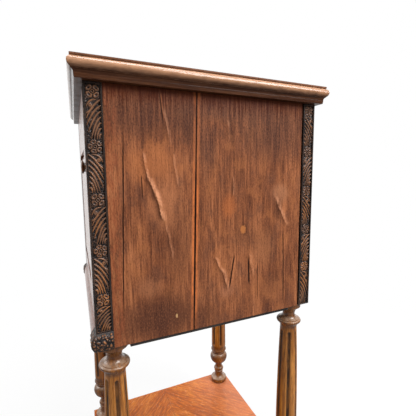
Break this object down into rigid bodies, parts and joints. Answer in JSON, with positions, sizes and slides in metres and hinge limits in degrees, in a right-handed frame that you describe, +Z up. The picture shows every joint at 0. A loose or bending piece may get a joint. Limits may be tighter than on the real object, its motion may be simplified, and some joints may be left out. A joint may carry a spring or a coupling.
{
  "type": "vintage sewing table",
  "caption": "Small square sewing table: box with hinged moulded lid, framed front door with turn knob, carved corner strips, turned fluted legs, lower shelf and lift-out tray.",
  "frame": {"origin": "centre of the footprint, on the floor", "axes": "Z up, front faces -Y, X to the right seen from the front"},
  "size_m": [0.349, 0.359, 0.7489],
  "materials": {
    "carved_walnut": "dark carved relief with worn high points",
    "side_boards": "worn oiled boards, satin",
    "turned_walnut": "turned, waxed, satin",
    "lid_walnut": "waxed, satin",
    "veneer": "polished veneer, glossy",
    "polished_walnut": "polished, glossy",
    "inner_wood": "plain softwood, matt",
    "brass": "aged brass"
  },
  "bodies": {
    "table": {"back_board_left": "side_boards", "back_board_right": "side_boards", "boss_front_left": "carved_walnut", "boss_front_right": "carved_walnut", "bottom_board": "side_boards", "door_pivots": "brass", "foot_front_left": "turned_walnut", "foot_front_right": "turned_walnut", "foot_rear_left": "turned_walnut", "foot_rear_right": "turned_walnut", "front_apron": "polished_walnut", "front_base_moulding": "polished_walnut", "front_bottom_rail": "inner_wood", "front_top_rail": "inner_wood", "hinge_pins": "brass", "leg_front_left": "turned_walnut", "leg_front_right": "turned_walnut", "leg_rear_left": "turned_walnut", "leg_rear_right": "turned_walnut", "lid_hinge_box_leaf_left": "brass", "lid_hinge_box_leaf_right": "brass", "post_front_left": "inner_wood", "post_front_right": "inner_wood", "post_rear_left": "inner_wood", "post_rear_right": "inner_wood", "shelf_board": "polished_walnut", "shelf_veneer": "veneer", "side_board_left_front": "side_boards", "side_board_left_rear": "side_boards", "side_board_right_front": "side_boards", "side_board_right_rear": "side_boards", "strip_front_left": "carved_walnut", "strip_front_right": "carved_walnut", "strip_left_side_front": "carved_walnut", "strip_left_side_rear": "carved_walnut", "strip_rear_left": "carved_walnut", "strip_rear_right": "carved_walnut", "strip_right_side_front": "carved_walnut", "strip_right_side_rear": "carved_walnut", "tray_cleats": "inner_wood", "tray_dividers": "inner_wood", "tray_floor": "inner_wood", "tray_pegs": "inner_wood", "tray_walls": "inner_wood"},
    "lid": {"lid_board": "lid_walnut", "lid_hinge_lid_leaf_left": "brass", "lid_hinge_lid_leaf_right": "brass", "lid_moulding_front": "lid_walnut", "lid_moulding_left": "lid_walnut", "lid_moulding_rear": "lid_walnut", "lid_moulding_right": "lid_walnut"},
    "door": {"door_bottom_rail": "polished_walnut", "door_left_stile": "polished_walnut", "door_panel": "veneer", "door_right_stile": "polished_walnut", "door_top_rail": "polished_walnut"},
    "knob": {"door_knob": "turned_walnut", "door_latch": "brass"}
  },
  "joints": [
    {"name": "lid_hinge", "type": "hinge", "parent": "table", "child": "lid", "pos_m": [0, 0.1678, 0.72415], "axis": [-1, 0, 0], "range_deg": [0, 105]},
    {"name": "door_hinge", "type": "hinge", "parent": "table", "child": "door", "pos_m": [-0.131, -0.158, 0.56], "axis": [0, 0, -1], "range_deg": [0, 95]},
    {"name": "knob_turn", "type": "hinge", "parent": "door", "child": "knob", "pos_m": [0.113, -0.165, 0.6305], "axis": [0, -1, 0], "range_deg": [0, 90]}
  ]
}
